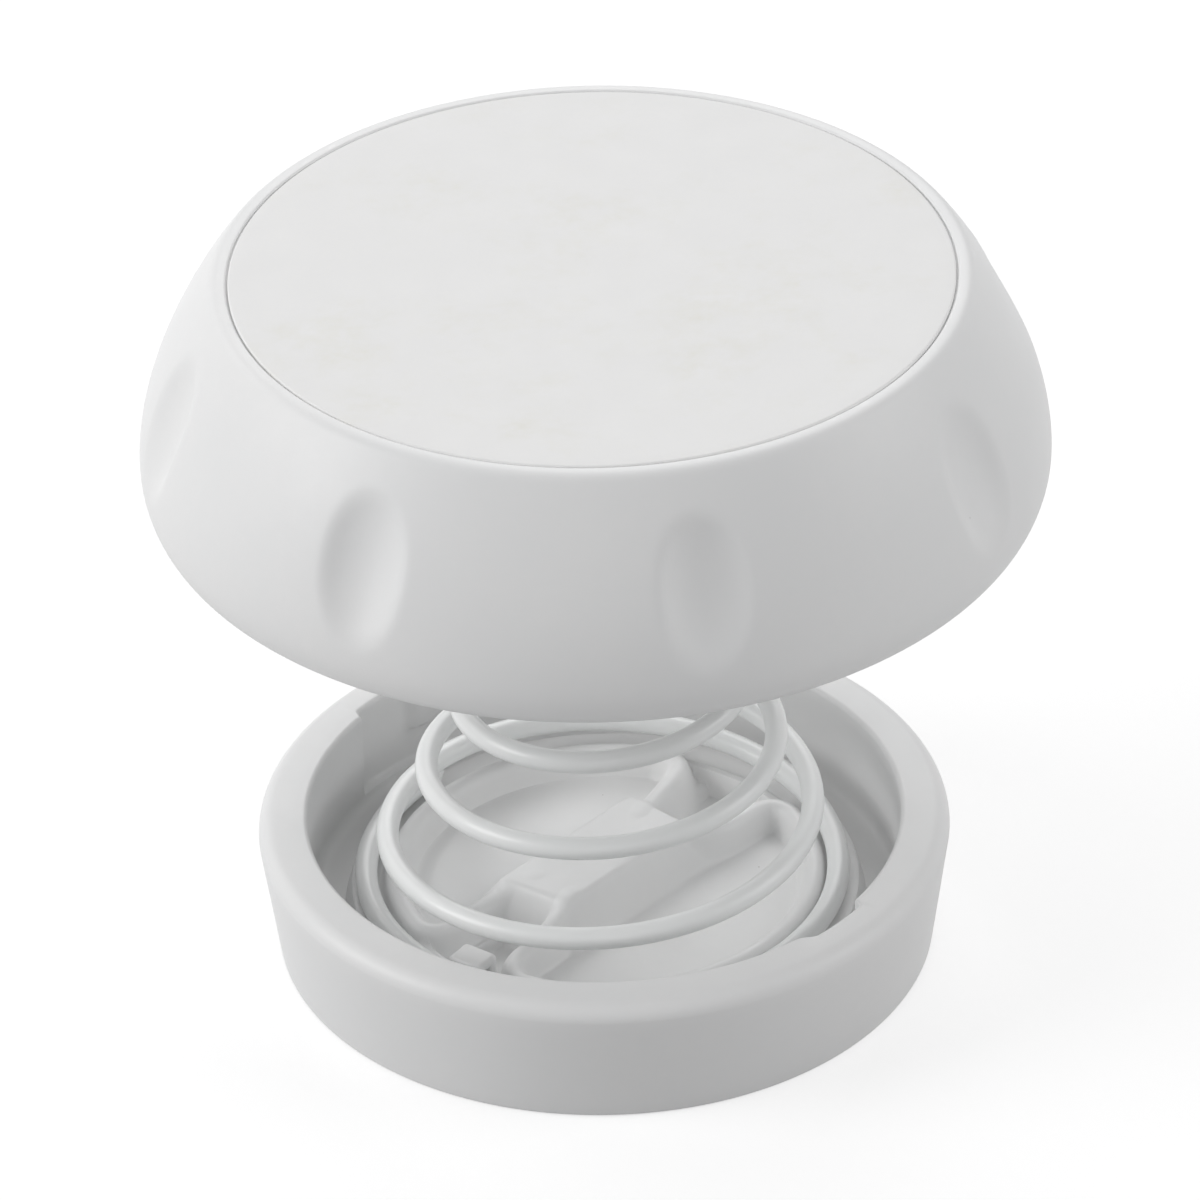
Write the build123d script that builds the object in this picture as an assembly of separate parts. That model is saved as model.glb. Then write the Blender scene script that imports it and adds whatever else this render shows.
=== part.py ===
from build123d import *
import math
import os

# A press-and-twist door stop: a sprung bumper cap standing on a shallow round base cup.
# Millimetres. +Z is up, the origin is the centre of the underside, and the two keyways
# of the bayonet lie at KEYWAY_ANGLE and opposite it.

# Base cup
CUP_RADIUS = 22.9  # outer radius just below the rim
CUP_FOOT_RADIUS = 21.85  # outer radius at the underside
CUP_BORE_RADIUS = 19.65
CUP_HEIGHT = 9.3
CUP_RIM_ROUND = 1.2
CUP_INNER_ROUND = 0.35
FLOOR_TOP = 2.1
FLOOR_ROUND = 0.8
PAD_RADIUS = 19.4
PAD_THICKNESS = 0.8
PAD_GAP = 0.2

# Bayonet
KEYWAY_ANGLE = -42.5
KEYWAY_WIDTH = 14.6  # degrees
GROOVE_RADIUS = 20.25
GROOVE_BOTTOM = 2.9
GROOVE_TOP = 5.4
LOCK_ANGLE = 50.0  # degrees of clockwise turn from the keyway to the stop
LUG_WIDTH = 11.5  # degrees
LUG_RADIUS = 20.05
LUG_HEIGHT = 1.6

# Boss, spring seat and spring clip on the cup's floor
BOSS_RADIUS = 14.65
BOSS_TOP = 4.7
BOSS_ROUND = 0.5
POCKET_RADIUS = 13.1
POCKET_FLOOR = 2.9
POCKET_OFFSET = 4.2  # from the bar's middle line to each pocket's straight side
POCKET_CORNER = 1.5
BAR_ANGLE = 47.0
BAR_LENGTH = 12.5
BAR_WIDTH = 4.3
BAR_TOP = 5.7
BAR_FOOT_SPREAD = 1.7  # how far each of the bar's sloping sides runs out
SEAT_RADIUS = 17.0  # outer radius of the raised seat under the base coil
SEAT_TOP = 3.7
CLIP_ANGLE = 234.0
CLIP_WIDTH = 3.4
CLIP_POST_INNER = 13.9
CLIP_POST_OUTER = 14.75
CLIP_HOOK_RADIUS = 16.3  # how far out the hook reaches
CLIP_HOOK_BOTTOM = 5.35
CLIP_HOOK_TOP = 6.1
CHANNEL_ANGLE = 50.0
CHANNEL_WIDTH = 5.4
CHANNEL_START = 8.4  # distance from the centre to each channel's inner end
RIDGE_INNER = 13.9  # the ridge that closes each channel's outer end
RIDGE_TOP = 3.8

# Conical spring, plastic-coated wire
WIRE_DIAMETER = 1.5
SPRING_BASE_RADIUS = 15.93
SPRING_END_RADIUS = 7.6
SPRING_SEAT_GAP = 0.05
SPRING_END_HEIGHT = 42.45  # wire's middle in the small end coil
DEAD_TURNS_BASE = 0.6
ACTIVE_TURNS = 7.1
DEAD_TURNS_END = 0.75
TAPER_TURNS = 2.74  # turns over which the radius falls most of the way to its end value
SPRING_START_ANGLE = 133.0
SPRING_BOW = 0.6  # how far the middle of the spring's height stands off to +X
POINTS_PER_TURN = 12

# Cap, at rest on the extended spring
CAP_RADIUS = 29.3
CAP_WIDEST = 37.8
CAP_BOTTOM = 34.4
CAP_TOP = 50.5
CAP_SHOULDER_RADIUS = 24.5  # where the side meets the top edge
CAP_BOTTOM_RADIUS = 26.4
CAP_WALL = 2.3
ROOF_BOTTOM = 45.0
ROOF_TOP = 48.35
RECESS_RADIUS = 23.25
DIMPLE_COUNT = 8
DIMPLE_ANGLE = -76.5
DIMPLE_TOOL_RADIUS = 3.9
DIMPLE_DEPTH = 0.95
DIMPLE_HEIGHT = 42.2
DIMPLE_LEAN = 17.0  # degrees that each dimple leans inward with the side
DISC_RADIUS = 23.12
ADHESIVE_RADIUS = 22.4
ADHESIVE_THICKNESS = 0.15

# Latch ring under the cap
SKIRT_INNER = 18.15
SKIRT_OUTER = 19.25
SKIRT_BOTTOM = 35.4
LUG_BOTTOM = 36.4
RING_FLANGE_RADIUS = 23.1
RING_FLANGE_THICKNESS = 1.8
RING_SCREW_CIRCLE = 20.9
RING_SCREW_COUNT = 3
RING_SCREW_ANGLE = 20.0
RING_SCREW_RADIUS = 0.9
RING_SCREW_DEPTH = 1.4
RING_HEAD_RADIUS = 1.6
RING_HEAD_HEIGHT = 1.0
RING_COUNTERBORE_RADIUS = 1.9
RING_COUNTERBORE_DEPTH = 1.3
RING_HOLE_CLEARANCE = 0.15

# Swivel: collar, shoulder screw and washer
COLLAR_HUB_RADIUS = 6.6
COLLAR_FLANGE_RADIUS = 9.3
COLLAR_TOP = 44.9
COLLAR_FLANGE_THICKNESS = 1.6
COLLAR_BOTTOM = 40.9
SCREW_SHOULDER_RADIUS = 2.0
SCREW_THREAD_RADIUS = 1.5
SCREW_TIP = 41.4
SCREW_HEAD_RADIUS = 3.6
SCREW_HEAD_HEIGHT = 1.4
SCREW_SOCKET_RADIUS = 1.3
SCREW_SOCKET_DEPTH = 0.8
SWIVEL_BORE_RADIUS = 2.08
SWIVEL_COUNTERBORE_RADIUS = 4.9
SWIVEL_COUNTERBORE_DEPTH = 2.0
WASHER_RADIUS = 4.4
WASHER_THICKNESS = 0.4
WASHER_GAP = 0.05


def cylinder(radius, bottom, top):
    """A round bar on the Z axis between two heights."""
    return Pos(0, 0, bottom) * Cylinder(radius, top - bottom, align=(Align.CENTER, Align.CENTER, Align.MIN))


def ring(outer, inner, bottom, top):
    """A tube on the Z axis between two heights."""
    return cylinder(outer, bottom, top) - cylinder(inner, bottom, top)


def ring_sector(outer, inner, bottom, top, start, sweep_angle):
    """The part of a tube that lies between two directions, in degrees."""
    section = Plane.XZ * Pos((inner + outer) / 2, (bottom + top) / 2) * Rectangle(outer - inner, top - bottom)
    return Rot(0, 0, start) * revolve(section, Axis.Z, sweep_angle)


def turned(outline):
    """A solid of revolution from the closed outline's edges in the XZ plane."""
    return revolve(Plane.XZ * make_face(outline), Axis.Z, 360)


def opposite_pair(shape):
    """The shape and its copy half a turn round."""
    return [shape, Rot(0, 0, 180) * shape]


def bar_block(length, width, bottom, top, spread):
    """A bar along X whose sides slope out by spread at its foot."""
    foot = Pos(0, 0, bottom) * Rectangle(length + 2 * spread, width + 2 * spread)
    crest = Pos(0, 0, top) * Rectangle(length, width)
    return loft([foot, crest])


def cup_body():
    """The cup: a drafted wall, a floor, and a shallow recess below for the mounting pad."""
    rim_shoulder = CUP_HEIGHT - CUP_RIM_ROUND
    foot = Polyline(
        (0, PAD_THICKNESS),
        (PAD_RADIUS + PAD_GAP, PAD_THICKNESS),
        (PAD_RADIUS + PAD_GAP, 0),
        (CUP_FOOT_RADIUS, 0),
        (CUP_RADIUS, rim_shoulder),
    )
    outer_round = RadiusArc((CUP_RADIUS, rim_shoulder), (CUP_RADIUS - CUP_RIM_ROUND, CUP_HEIGHT), -CUP_RIM_ROUND)
    rim = Line(outer_round @ 1, (CUP_BORE_RADIUS + CUP_INNER_ROUND, CUP_HEIGHT))
    inner_round = RadiusArc(rim @ 1, (CUP_BORE_RADIUS, CUP_HEIGHT - CUP_INNER_ROUND), -CUP_INNER_ROUND)
    wall = Line(inner_round @ 1, (CUP_BORE_RADIUS, FLOOR_TOP + FLOOR_ROUND))
    floor_round = RadiusArc(wall @ 1, (CUP_BORE_RADIUS - FLOOR_ROUND, FLOOR_TOP), FLOOR_ROUND)
    floor = Polyline(floor_round @ 1, (0, FLOOR_TOP), (0, PAD_THICKNESS))
    return turned([foot, outer_round, rim, inner_round, wall, floor_round, floor])


def bayonet_cut():
    """One keyway down the wall, and the groove that runs clockwise from its foot."""
    half = KEYWAY_WIDTH / 2
    inside = CUP_BORE_RADIUS - 1
    keyway = ring_sector(GROOVE_RADIUS, inside, GROOVE_BOTTOM, CUP_HEIGHT + 1, KEYWAY_ANGLE - half, KEYWAY_WIDTH)
    groove = ring_sector(
        GROOVE_RADIUS,
        inside,
        GROOVE_BOTTOM,
        GROOVE_TOP,
        KEYWAY_ANGLE - half - LOCK_ANGLE,
        LOCK_ANGLE + KEYWAY_WIDTH,
    )
    return keyway + groove


def pocket():
    """One D-shaped pocket beside the bar, with rounded corners and a flat floor."""
    half_plane = Pos(0, POCKET_OFFSET + POCKET_RADIUS) * Rectangle(4 * POCKET_RADIUS, 2 * POCKET_RADIUS)
    outline = Circle(POCKET_RADIUS) & half_plane
    outline = fillet(outline.vertices(), POCKET_CORNER)
    return Rot(0, 0, BAR_ANGLE) * Pos(0, 0, POCKET_FLOOR) * extrude(outline, BOSS_TOP)


def channel():
    """The slot through the boss's wall, with a low ridge left across its outer end."""
    length = BOSS_RADIUS
    slot = Pos(CHANNEL_START + length / 2, 0, FLOOR_TOP + BOSS_TOP / 2) * Box(length, CHANNEL_WIDTH, BOSS_TOP)
    return Rot(0, 0, CHANNEL_ANGLE) * (slot - ring(BOSS_RADIUS, RIDGE_INNER, FLOOR_TOP - 1, RIDGE_TOP))


def boss():
    """The low round boss that centres the spring: two pockets, two channels and a raised bar."""
    body = cylinder(BOSS_RADIUS, FLOOR_TOP, BOSS_TOP)
    body = fillet(body.edges().group_by(Axis.Z)[-1], BOSS_ROUND)
    body -= opposite_pair(pocket())
    bar = bar_block(BAR_LENGTH, BAR_WIDTH, POCKET_FLOOR, BAR_TOP, BAR_FOOT_SPREAD)
    body += Rot(0, 0, BAR_ANGLE) * bar
    body -= opposite_pair(channel())
    return body


def block(low, high):
    """A box between two corners."""
    size = [b - a for a, b in zip(low, high)]
    return Pos(*low) * Box(*size, align=(Align.MIN, Align.MIN, Align.MIN))


def clip():
    """The spring clip: a post inside the base coil with a hook that reaches out over the wire."""
    half = CLIP_WIDTH / 2
    post = block((CLIP_POST_INNER, -half, FLOOR_TOP - 0.5), (CLIP_POST_OUTER, half, CLIP_HOOK_TOP))
    hook = block((CLIP_POST_INNER, -half, CLIP_HOOK_BOTTOM), (CLIP_HOOK_RADIUS, half, CLIP_HOOK_TOP))
    return post + hook


def clip_core_hole():
    """The hole through the seat and floor below the clip's hook, left by the mould's core."""
    half = CLIP_WIDTH / 2 - 0.5
    return block((CLIP_POST_OUTER, -half, 0), (CLIP_HOOK_RADIUS, half, SEAT_TOP + 0.5))


def base_cup():
    """The moulded base: cup, bayonet keyways and grooves, boss, spring seat and spring clip."""
    body = cup_body()
    body -= opposite_pair(bayonet_cut())
    body += boss()
    body += ring(SEAT_RADIUS, BOSS_RADIUS - 0.3, FLOOR_TOP - 0.5, SEAT_TOP)
    body += Rot(0, 0, CLIP_ANGLE) * clip()
    body -= Rot(0, 0, CLIP_ANGLE) * clip_core_hole()
    return body


def spring_corner(turn):
    """A corner of the spring's route, whose straight runs touch the coil's true line."""
    angle = math.radians(SPRING_START_ANGLE + 360 * turn)
    seat = SEAT_TOP + SPRING_SEAT_GAP + WIRE_DIAMETER / 2
    share = min(max((turn - DEAD_TURNS_BASE) / ACTIVE_TURNS, 0.0), 1.0)
    fall = math.exp(-((turn / TAPER_TURNS) ** 2))
    radius = SPRING_END_RADIUS + (SPRING_BASE_RADIUS - SPRING_END_RADIUS) * fall
    height = seat + (SPRING_END_HEIGHT - seat) * share
    bow = 4 * SPRING_BOW * share * (1 - share)
    corner_radius = radius / math.cos(math.pi / POINTS_PER_TURN)
    return (corner_radius * math.cos(angle) + bow, corner_radius * math.sin(angle), height)


def conical_spring():
    """The coated wire spring: a flat base coil, open coils that narrow, and a flat end coil."""
    turns = DEAD_TURNS_BASE + ACTIVE_TURNS + DEAD_TURNS_END
    count = round(turns * POINTS_PER_TURN)
    points = [Vector(*spring_corner(i * turns / count)) for i in range(count + 1)]
    radii = []
    for before, corner, after in zip(points, points[1:], points[2:]):
        run = min((corner - before).length, (after - corner).length)
        half_turn = math.radians((corner - before).get_angle(after - corner)) / 2
        radii.append(0.45 * run / math.tan(half_turn))
    path = FilletPolyline(points, radius=radii)
    wire_section = Plane(path @ 0, z_dir=path % 0) * Circle(WIRE_DIAMETER / 2)
    return sweep(wire_section, path=path)


def mounting_pad():
    """The double-sided foam disc in the underside's recess."""
    return cylinder(PAD_RADIUS, 0, PAD_THICKNESS)


def cap_outline():
    """The cap's wall in section: convex side, inward curl at the bottom, roof and disc recess."""
    lip_radius = (CAP_SHOULDER_RADIUS - RECESS_RADIUS) / 2
    side = Bezier(
        (CAP_SHOULDER_RADIUS, CAP_TOP - lip_radius),
        (CAP_SHOULDER_RADIUS + 1.6, CAP_TOP - 2.6),
        (CAP_RADIUS, CAP_WIDEST + 4.6),
        (CAP_RADIUS, CAP_WIDEST),
    )
    curl = Bezier(
        side @ 1,
        (CAP_RADIUS, CAP_WIDEST - 2.1),
        (CAP_BOTTOM_RADIUS + 1.6, CAP_BOTTOM),
        (CAP_BOTTOM_RADIUS, CAP_BOTTOM),
    )
    hem = Line(curl @ 1, (CAP_BOTTOM_RADIUS - 0.9, CAP_BOTTOM + 0.25))
    inner = Bezier(
        hem @ 1,
        (CAP_RADIUS - CAP_WALL, CAP_WIDEST - 1.2),
        (CAP_RADIUS - CAP_WALL, CAP_WIDEST + 3.4),
        (CAP_SHOULDER_RADIUS, ROOF_BOTTOM),
    )
    roof = Polyline(
        inner @ 1,
        (0, ROOF_BOTTOM),
        (0, ROOF_TOP),
        (RECESS_RADIUS, ROOF_TOP),
        (RECESS_RADIUS, CAP_TOP - lip_radius),
    )
    lip = RadiusArc(roof @ 1, side @ 0, lip_radius)
    return [side, curl, hem, inner, roof, lip]


def dimple():
    """The cutter for one finger dimple, a leaning round bar that bites into the convex side."""
    bite = DIMPLE_TOOL_RADIUS - DIMPLE_DEPTH
    side_radius = CAP_RADIUS - 0.75
    tool = Rot(0, -DIMPLE_LEAN, 0) * Cylinder(DIMPLE_TOOL_RADIUS, CAP_RADIUS)
    return Pos(side_radius + bite, 0, DIMPLE_HEIGHT) * tool


def cap_shell():
    """The outer grip: a hollow cap with finger dimples and counterbored screw holes in its roof."""
    body = turned(cap_outline())
    for i in range(DIMPLE_COUNT):
        body -= Rot(0, 0, DIMPLE_ANGLE + i * 360 / DIMPLE_COUNT) * dimple()
    body -= cylinder(SWIVEL_BORE_RADIUS, ROOF_BOTTOM - 1, ROOF_TOP + 1)
    body -= cylinder(SWIVEL_COUNTERBORE_RADIUS, ROOF_TOP - SWIVEL_COUNTERBORE_DEPTH, ROOF_TOP + 1)
    hole = cylinder(RING_SCREW_RADIUS + RING_HOLE_CLEARANCE, ROOF_BOTTOM - 1, ROOF_TOP + 1)
    hole += cylinder(RING_COUNTERBORE_RADIUS, ROOF_TOP - RING_COUNTERBORE_DEPTH, ROOF_TOP + 1)
    for place in ring_screw_places():
        body -= place * hole
    return body


def ring_screw_places():
    """Where the latch ring's screws stand."""
    step = 360 / RING_SCREW_COUNT
    return [Rot(0, 0, RING_SCREW_ANGLE + i * step) * Pos(RING_SCREW_CIRCLE, 0, 0) for i in range(RING_SCREW_COUNT)]


def latch_ring():
    """The ring under the roof: a flange, a skirt and two outward bayonet lugs."""
    flange_bottom = ROOF_BOTTOM - RING_FLANGE_THICKNESS
    body = ring(RING_FLANGE_RADIUS, SKIRT_INNER, flange_bottom, ROOF_BOTTOM)
    body += ring(SKIRT_OUTER, SKIRT_INNER, SKIRT_BOTTOM, flange_bottom)
    lug = ring_sector(
        LUG_RADIUS,
        SKIRT_OUTER - 0.5,
        LUG_BOTTOM,
        LUG_BOTTOM + LUG_HEIGHT,
        KEYWAY_ANGLE - LUG_WIDTH / 2,
        LUG_WIDTH,
    )
    body += opposite_pair(lug)
    hole = cylinder(RING_SCREW_RADIUS, ROOF_BOTTOM - RING_SCREW_DEPTH, ROOF_BOTTOM + 1)
    for place in ring_screw_places():
        body -= place * hole
    return body


def latch_ring_screws():
    """The screws that hold the latch ring, with their heads sunk in the roof."""
    seat = ROOF_TOP - RING_COUNTERBORE_DEPTH
    screw = cylinder(RING_SCREW_RADIUS, ROOF_BOTTOM - RING_SCREW_DEPTH, seat)
    screw += cylinder(RING_HEAD_RADIUS, seat, seat + RING_HEAD_HEIGHT)
    screw -= cylinder(RING_SCREW_RADIUS / 2, seat + RING_HEAD_HEIGHT / 2, seat + 2 * RING_HEAD_HEIGHT)
    return Compound(children=[place * screw for place in ring_screw_places()])


def spring_collar():
    """The collar that fills the spring's end coil and takes the shoulder screw's thread."""
    flange_bottom = COLLAR_TOP - COLLAR_FLANGE_THICKNESS
    body = cylinder(COLLAR_FLANGE_RADIUS, flange_bottom, COLLAR_TOP)
    body += cylinder(COLLAR_HUB_RADIUS, COLLAR_BOTTOM, flange_bottom)
    body -= cylinder(SCREW_THREAD_RADIUS, COLLAR_BOTTOM - 1, COLLAR_TOP + 1)
    return body


def swivel_washer():
    """The washer between the shoulder screw's head and the roof."""
    bottom = ROOF_TOP - SWIVEL_COUNTERBORE_DEPTH + WASHER_GAP
    return ring(WASHER_RADIUS, SWIVEL_BORE_RADIUS, bottom, bottom + WASHER_THICKNESS)


def shoulder_screw():
    """The screw that the cap turns on: head, plain shoulder, and the thread in the collar."""
    head_bottom = ROOF_TOP - SWIVEL_COUNTERBORE_DEPTH + WASHER_GAP + WASHER_THICKNESS
    head_top = head_bottom + SCREW_HEAD_HEIGHT
    body = cylinder(SCREW_THREAD_RADIUS, SCREW_TIP, COLLAR_TOP)
    body += cylinder(SCREW_SHOULDER_RADIUS, COLLAR_TOP, head_bottom)
    body += cylinder(SCREW_HEAD_RADIUS, head_bottom, head_top)
    body -= Pos(0, 0, head_top - SCREW_SOCKET_DEPTH) * extrude(RegularPolygon(SCREW_SOCKET_RADIUS, 6), SCREW_HEAD_HEIGHT)
    return body


def disc_adhesive():
    """The thin adhesive disc that holds the strike disc in its recess."""
    return cylinder(ADHESIVE_RADIUS, ROOF_TOP, ROOF_TOP + ADHESIVE_THICKNESS)


def strike_disc():
    """The flat elastomer disc that the door meets."""
    body = cylinder(DISC_RADIUS, ROOF_TOP + ADHESIVE_THICKNESS, CAP_TOP)
    return fillet(body.edges().group_by(Axis.Z)[-1], 0.25)


PIECES = {
    "base_cup": base_cup,
    "mounting_pad": mounting_pad,
    "conical_spring": conical_spring,
    "spring_collar": spring_collar,
    "swivel_washer": swivel_washer,
    "shoulder_screw": shoulder_screw,
    "cap_shell": cap_shell,
    "latch_ring": latch_ring,
    "latch_ring_screws": latch_ring_screws,
    "disc_adhesive": disc_adhesive,
    "strike_disc": strike_disc,
}

os.makedirs("parts", exist_ok=True)
for node, make in PIECES.items():
    export_step(make(), f"parts/{node}.step")
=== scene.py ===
import math

import bmesh
import bpy
import numpy as np
from mathutils import Matrix, Vector

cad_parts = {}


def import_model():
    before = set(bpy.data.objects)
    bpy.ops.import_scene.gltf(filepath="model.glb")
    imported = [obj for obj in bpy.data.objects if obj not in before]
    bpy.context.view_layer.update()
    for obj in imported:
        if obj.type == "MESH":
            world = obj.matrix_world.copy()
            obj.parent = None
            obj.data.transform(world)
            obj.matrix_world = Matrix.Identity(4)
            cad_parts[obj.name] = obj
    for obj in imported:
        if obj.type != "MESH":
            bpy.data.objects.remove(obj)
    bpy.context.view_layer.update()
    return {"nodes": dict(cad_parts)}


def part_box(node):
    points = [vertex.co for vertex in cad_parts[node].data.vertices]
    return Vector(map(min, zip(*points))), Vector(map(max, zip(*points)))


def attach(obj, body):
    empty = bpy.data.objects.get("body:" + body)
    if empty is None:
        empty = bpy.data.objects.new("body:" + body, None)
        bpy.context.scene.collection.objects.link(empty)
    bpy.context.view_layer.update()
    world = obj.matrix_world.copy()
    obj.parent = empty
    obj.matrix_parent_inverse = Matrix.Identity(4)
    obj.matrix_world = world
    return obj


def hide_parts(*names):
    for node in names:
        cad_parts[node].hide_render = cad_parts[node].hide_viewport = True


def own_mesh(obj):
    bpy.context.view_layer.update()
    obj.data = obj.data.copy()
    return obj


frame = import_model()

MM = 0.001  # outlines are in millimetres, meshes in metres


def corners(node):
    """A CAD node's lowest and highest corner, in millimetres."""
    low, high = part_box(node)
    return np.array(low) / MM, np.array(high) / MM


# Base cup
CUP_RADIUS = corners("base_cup")[1][0]
CUP_HEIGHT = corners("base_cup")[1][2]
CUP_FOOT_RADIUS = 21.85
CUP_BORE_RADIUS = 19.65
CUP_RIM_ROUND = 1.2
CUP_INNER_ROUND = 0.35
CUP_FOOT_ROUND = 0.3
FLOOR_TOP = 2.1
FLOOR_ROUND = 0.8
PAD_RECESS_RADIUS = corners("mounting_pad")[1][0] + 0.2
PAD_THICKNESS = corners("mounting_pad")[1][2]

# Bayonet
KEYWAY_ANGLE = -42.5
KEYWAY_WIDTH = 14.6
GROOVE_RADIUS = 20.25
GROOVE_BOTTOM = 2.9
GROOVE_TOP = 5.4
GROOVE_EDGE = 0.2
LOCK_ANGLE = 50.0
BAYONET_EASE = 1.4  # degrees over which the wall steps out at the closed side
BAYONET_RAMP = 4.0  # and at the keyway's other side, above the groove

# Boss: heights are above the underside, slopes are a fall per step outward
BAR_ANGLE = 47.0
BAR_HALF_LENGTH = 6.25
BAR_HALF_WIDTH = 2.9
BAR_OFFSET = 0.5
BAR_END_SKEW = 0.18
BAR_SQUARE_SIDE = 1.6
BAR_CORNER_BLEND = 0.6
BAR_TOP = 5.7
BAR_SLOPE = 1.65
BAR_ROUND = 0.6
BOSS_CREST_RADIUS = 13.9
BOSS_WALL_HALF = 0.75
BOSS_TOP = 4.7
BOSS_WALL_SLOPE = 3.2
BOSS_WALL_ROUND = 0.75
BOSS_BLEND = 0.7
BOSS_WALL_BLEND = 0.4
BOSS_FLOOR_BLEND = 0.55
POCKET_FLOOR = 2.9
CHANNEL_ANGLE = 50.0
CHANNEL_HALF = 1.7
CHANNEL_START = 7.9
CHANNEL_EDGE = 0.5
RIDGE_RADIUS = 14.28
RIDGE_HALF = 0.37
RIDGE_TOP = 3.8
RIDGE_ROUND = 0.2
RIDGE_SLOPE = 3.0
SEAT_RADIUS = 17.0
SEAT_TOP = 3.7
SEAT_ROUND = 0.3
SEAT_SLOPE = 5.0

# Walls off the bar's ends: points along the bar, across it, and the crest's height
LEFT_REAR_SPUR = ((4.8, 1.3, 5.6), (7.2, 2.1, 5.4), (9.4, 2.9, 5.1), (11.2, 3.6, 4.85), (12.6, 4.6, 4.7))
RIGHT_FRONT_SPUR = ((5.0, 1.5, 5.5), (7.2, 2.2, 5.3), (9.4, 2.6, 4.95), (11.9, 2.6, 4.75), (13.2, 3.9, 4.7))
FAR_SPUR = ((-5.0, 1.6, 5.4), (-7.5, 2.9, 4.95), (-9.8, 3.1, 4.75), (-12.3, 3.1, 4.7), (-13.2, 4.4, 4.7))

# Spring clip
CLIP_ANGLE = 234.0
CLIP_WIDTH = 2.6
CLIP_POST_INNER = 13.9
CLIP_POST_OUTER = 14.75
CLIP_HOOK_RADIUS = 15.95
CLIP_HOOK_BOTTOM = 5.35
CLIP_HOOK_TOP = 6.1
CLIP_ROUND = 0.34
CORE_HOLE_ROUND = 0.15

# Conical spring
WIRE_RADIUS = 0.75
SEAT_CLEARANCE = 0.05
SPRING_BASE_RADIUS = 15.93
SPRING_END_RADIUS = 7.6
SPRING_SEAT = SEAT_TOP + SEAT_CLEARANCE + WIRE_RADIUS
SPRING_END_HEIGHT = corners("conical_spring")[1][2] - WIRE_RADIUS
DEAD_TURNS_BASE = 0.6
ACTIVE_TURNS = 7.1
DEAD_TURNS_END = 0.75
TAPER_TURNS = 2.74
SPRING_START_ANGLE = 133.0
SPRING_BOW = 0.55  # greatest sideways shift of the coils, a third of the way up
POINTS_PER_TURN = 110
POINTS_ROUND_WIRE = 22

# Cap
CAP_RADIUS = corners("cap_shell")[1][0] - 0.01  # just inside the CAD's widest point
CAP_TOP = corners("cap_shell")[1][2]
CAP_BOTTOM = corners("cap_shell")[0][2]
CAP_WIDEST = 37.8
CAP_SHOULDER_RADIUS = 24.5
CAP_BOTTOM_RADIUS = 26.4
CAP_WALL = 2.3
ROOF_BOTTOM = 45.0
ROOF_TOP = 48.35
RECESS_RADIUS = 23.25
RECESS_LEDGE = 0.12
RECESS_LEDGE_DEPTH = 0.26
LIP_ROUND = 0.14
SWIVEL_BORE_RADIUS = 2.08
SWIVEL_COUNTERBORE_RADIUS = 4.9
SWIVEL_COUNTERBORE_DEPTH = 2.0
DIMPLE_COUNT = 8
DIMPLE_ANGLE = -76.5
DIMPLE_TOOL_RADIUS = 4.2
DIMPLE_LOW = 38.9
DIMPLE_HIGH = 48.0
DIMPLE_SCOOP = 0.55
DIMPLE_TOP_HEAVY = 0.35  # how much deeper the scoop is above its middle
DIMPLE_EDGE = 0.35
RING_SCREW_CIRCLE = 20.9
RING_SCREW_COUNT = 3
RING_SCREW_ANGLE = 20.0
RING_HOLE_RADIUS = 1.05
RING_COUNTERBORE_RADIUS = 1.9
RING_COUNTERBORE_DEPTH = 1.3

# Strike disc
DISC_RADIUS = corners("strike_disc")[1][0]
DISC_BOTTOM = corners("strike_disc")[0][2]
DISC_TOP = corners("strike_disc")[1][2]
DISC_EDGE = 0.14

COLUMNS = 576  # points round each turned piece
FLOOR_STEP = 0.16
SHARP_ANGLE = math.radians(40)

# Studio: each lamp's name, position and diameter in metres, and power in watts
LAMPS = (
    ("key", (-0.60, -0.10, 0.34), 0.40, 1.98),
    ("key_rear", (-0.50, 0.40, 0.45), 0.45, 0.63),
    ("fill", (0.60, -0.05, 0.35), 0.40, 1.06),
    ("rear", (0.05, 0.60, 0.45), 0.50, 1.21),
    ("front", (0.0, -0.70, 0.30), 0.50, 0.40),
)
LAMPS_AIM = (0, 0, 0.025)
AMBIENT_COLOUR = (0.99, 0.99, 1.0, 1)
AMBIENT_STRENGTH = 0.385
FLOOR_HALF_SIDE = 1.5
FLOOR_LEVEL = -0.02
FLOOR_GREY = (0.5, 0.5, 0.5, 1)
FLOOR_GLOW = 0.62
WHITE_LIGHT = (1, 1, 1, 1)
CAMERA_ELEVATION = 33.2
CAMERA_ROLL = -1.3
CAMERA_DISTANCE = 535.0
CAMERA_AIM_RIGHT = -0.43
CAMERA_AIM_UP = 21.42
CAMERA_LENS = 240


# ------------------------------------------------------------------ mesh helpers


def new_object(name, mesh):
    """Links a mesh to the scene as an object at the origin, smooth except at its sharp edges."""
    mesh.shade_smooth()
    mesh.set_sharp_from_angle(angle=SHARP_ANGLE)
    obj = bpy.data.objects.new(name, mesh)
    bpy.context.scene.collection.objects.link(obj)
    return obj


def grid_faces(index):
    """Four-sided faces between rows of point numbers, each row closed on itself."""
    turned = np.roll(index, -1, axis=1)
    return np.stack([index[:-1], turned[:-1], turned[1:], index[1:]], axis=-1).reshape(-1, 4).tolist()


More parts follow.
